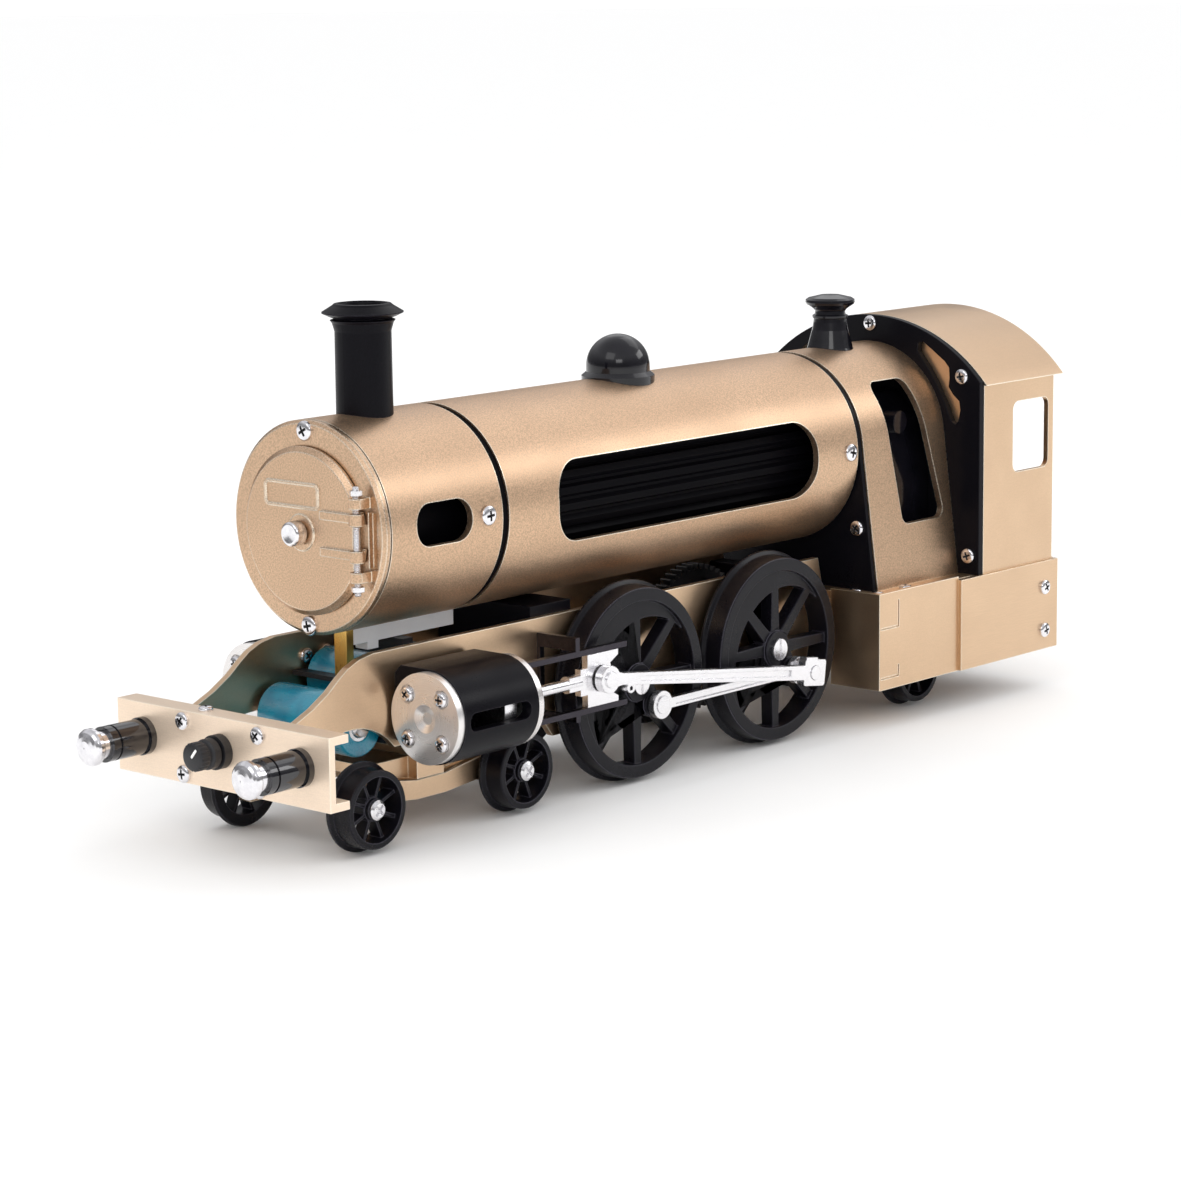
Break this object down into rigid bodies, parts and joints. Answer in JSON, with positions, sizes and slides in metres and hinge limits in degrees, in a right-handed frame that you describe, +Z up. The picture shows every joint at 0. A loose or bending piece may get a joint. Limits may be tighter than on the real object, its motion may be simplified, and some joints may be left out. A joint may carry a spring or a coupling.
{
  "type": "model steam locomotive",
  "caption": "Metal model steam locomotive with gold boiler and cab, black fittings, spoked wheels on a swivelling bogie and rod-coupled drivers, and an opening smokebox door.",
  "frame": {"origin": "middle of the part's length and width, on the plane under the wheel flanges", "axes": "+X forward to the buffers, +Y to the locomotive's left, +Z up"},
  "size_m": [0.341, 0.0876, 0.1352],
  "materials": {
    "gold_blasted": "bead-blasted champagne-gold anodising",
    "gold_brushed": "finely brushed champagne-gold anodising",
    "black_satin": "satin black anodising",
    "black_matt": "matt black",
    "pale_aluminium": "frosted, pale",
    "black_gloss": "gloss black, turned",
    "wheel_black": "satin black",
    "bright_steel": "bright milled and polished",
    "chromed": "polished",
    "silver_aluminium": "turned, silver",
    "dark_steel": "blued steel",
    "motor_can": "plated can",
    "brass": "satin",
    "cell_wrap": "shrink wrap, turquoise blue",
    "black_plastic": "moulded"
  },
  "bodies": {
    "chassis": {"frame_left": "gold_brushed", "frame_right": "gold_brushed", "buffer_beam": "gold_brushed", "rear_beam": "gold_brushed", "frame_stretchers": "black_satin", "buffer_stocks": "black_gloss", "panel_screws": "chromed", "smokebox_shell": "gold_blasted", "smokebox_ring": "gold_blasted", "hinge_pin": "bright_steel", "chimney": "black_satin", "boiler_shell": "gold_blasted", "boiler_core": "black_matt", "dome": "black_gloss", "safety_valve": "black_gloss", "firebox_shell": "gold_blasted", "firebox_core": "black_matt", "throat_plate": "black_satin", "cab_front_plate": "black_satin", "cab_lining": "gold_brushed", "cab_sides": "gold_brushed", "cab_roof": "gold_brushed", "backhead": "black_satin", "footplate": "gold_brushed", "side_boxes": "gold_brushed", "rear_panels": "gold_brushed", "saddle_post": "brass", "saddle_bar": "pale_aluminium", "battery_cells": "cell_wrap", "cell_cradle": "black_plastic", "motor": "motor_can", "cylinder_blocks": "black_satin", "cylinder_covers": "silver_aluminium", "guide_bars": "dark_steel", "rear_drawbar": "black_satin", "switch_body": "black_plastic"},
    "front_wheels": {"front_drivers": "wheel_black", "front_axle": "bright_steel"},
    "rear_wheels": {"rear_drivers": "wheel_black", "rear_axle": "bright_steel", "drive_gear": "black_plastic"},
    "pinion": {"motor_pinion": "brass"},
    "coupling_rod_l": {"coupling_rod_left": "bright_steel"},
    "coupling_rod_r": {"coupling_rod_right": "bright_steel"},
    "main_rod_l": {"main_rod_left": "bright_steel"},
    "main_rod_r": {"main_rod_right": "bright_steel"},
    "crosshead_l": {"crosshead_left": "bright_steel"},
    "crosshead_r": {"crosshead_right": "bright_steel"},
    "bogie": {"bogie_frame": "gold_brushed"},
    "bogie_wheels_f": {"bogie_front_wheels": "wheel_black", "bogie_front_axle": "bright_steel"},
    "bogie_wheels_r": {"bogie_rear_wheels": "wheel_black", "bogie_rear_axle": "bright_steel"},
    "trailing": {"trailing_wheels": "wheel_black", "trailing_axle": "bright_steel"},
    "door": {"smokebox_door": "gold_blasted"},
    "door_handle": {"door_knob": "chromed"},
    "knob": {"control_knob": "black_plastic"},
    "buffer_l": {"buffer_head_left": "chromed"},
    "buffer_r": {"buffer_head_right": "chromed"}
  },
  "joints": [
    {"name": "rear_axle_spin", "type": "hinge", "parent": "chassis", "child": "rear_wheels", "pos_m": [-0.0376, 0, 0.0277], "axis": [0, 1, 0], "continuous": true},
    {"name": "front_axle_spin", "type": "hinge", "parent": "chassis", "child": "front_wheels", "pos_m": [0.0226, 0, 0.0277], "axis": [0, 1, 0], "continuous": true},
    {"name": "pinion_spin", "type": "hinge", "parent": "chassis", "child": "pinion", "pos_m": [-0.01239, 0, 0.03215], "axis": [0, 1, 0], "continuous": true},
    {"name": "coupling_rod_left_turn", "type": "hinge", "parent": "rear_wheels", "child": "coupling_rod_l", "pos_m": [-0.04341, 0.0295, 0.02109], "axis": [0, 1, 0], "continuous": true},
    {"name": "coupling_rod_right_turn", "type": "hinge", "parent": "rear_wheels", "child": "coupling_rod_r", "pos_m": [-0.03099, -0.0295, 0.02189], "axis": [0, 1, 0], "continuous": true},
    {"name": "main_rod_left_turn", "type": "hinge", "parent": "rear_wheels", "child": "main_rod_l", "pos_m": [-0.04341, 0.0347, 0.02109], "axis": [0, 1, 0], "continuous": true},
    {"name": "main_rod_right_turn", "type": "hinge", "parent": "rear_wheels", "child": "main_rod_r", "pos_m": [-0.03099, -0.0347, 0.02189], "axis": [0, 1, 0], "continuous": true},
    {"name": "crosshead_left_slide", "type": "slide", "parent": "chassis", "child": "crosshead_l", "axis": [1, 0, 0], "range_m": [-0.00235, 0.01528]},
    {"name": "crosshead_right_slide", "type": "slide", "parent": "chassis", "child": "crosshead_r", "axis": [1, 0, 0], "range_m": [-0.01488, 0.00276]},
    {"name": "bogie_swivel", "type": "hinge", "parent": "chassis", "child": "bogie", "pos_m": [0.096, 0, 0.0175], "axis": [0, 0, 1], "range_deg": [-3, 3]},
    {"name": "bogie_front_spin", "type": "hinge", "parent": "bogie", "child": "bogie_wheels_f", "pos_m": [0.1236, 0, 0.0116], "axis": [0, 1, 0], "continuous": true},
    {"name": "bogie_rear_spin", "type": "hinge", "parent": "bogie", "child": "bogie_wheels_r", "pos_m": [0.0684, 0, 0.0116], "axis": [0, 1, 0], "continuous": true},
    {"name": "trailing_spin", "type": "hinge", "parent": "chassis", "child": "trailing", "pos_m": [-0.105, 0, 0.0116], "axis": [0, 1, 0], "continuous": true},
    {"name": "door_swing", "type": "hinge", "parent": "chassis", "child": "door", "pos_m": [0.122, 0.0207, 0.0798], "axis": [0, 0, 1], "range_deg": [0, 105]},
    {"name": "door_knob_turn", "type": "hinge", "parent": "door", "child": "door_handle", "pos_m": [0.123, 0, 0.079], "axis": [1, 0, 0], "range_deg": [0, 90]},
    {"name": "control_knob_turn", "type": "hinge", "parent": "chassis", "child": "knob", "pos_m": [0.157, 0, 0.0277], "axis": [1, 0, 0], "range_deg": [0, 270]},
    {"name": "buffer_left_slide", "type": "slide", "parent": "chassis", "child": "buffer_l", "axis": [-1, 0, 0], "range_m": [0, 0.0025], "stiffness_N_per_m": 400, "springref_m": -0.0005},
    {"name": "buffer_right_slide", "type": "slide", "parent": "chassis", "child": "buffer_r", "axis": [-1, 0, 0], "range_m": [0, 0.0025], "stiffness_N_per_m": 400, "springref_m": -0.0005}
  ],
  "couplings": [
    {"joint": "front_axle_spin", "follows": "rear_axle_spin", "ratio": 1},
    {"joint": "pinion_spin", "follows": "rear_axle_spin", "ratio": -4.3333},
    {"joint": "coupling_rod_left_turn", "follows": "rear_axle_spin", "ratio": -1},
    {"joint": "coupling_rod_right_turn", "follows": "rear_axle_spin", "ratio": -1},
    {"joint": "main_rod_left_turn", "follows": "rear_axle_spin", "ratio": -1},
    {"joint": "main_rod_right_turn", "follows": "rear_axle_spin", "ratio": -1}
  ]
}
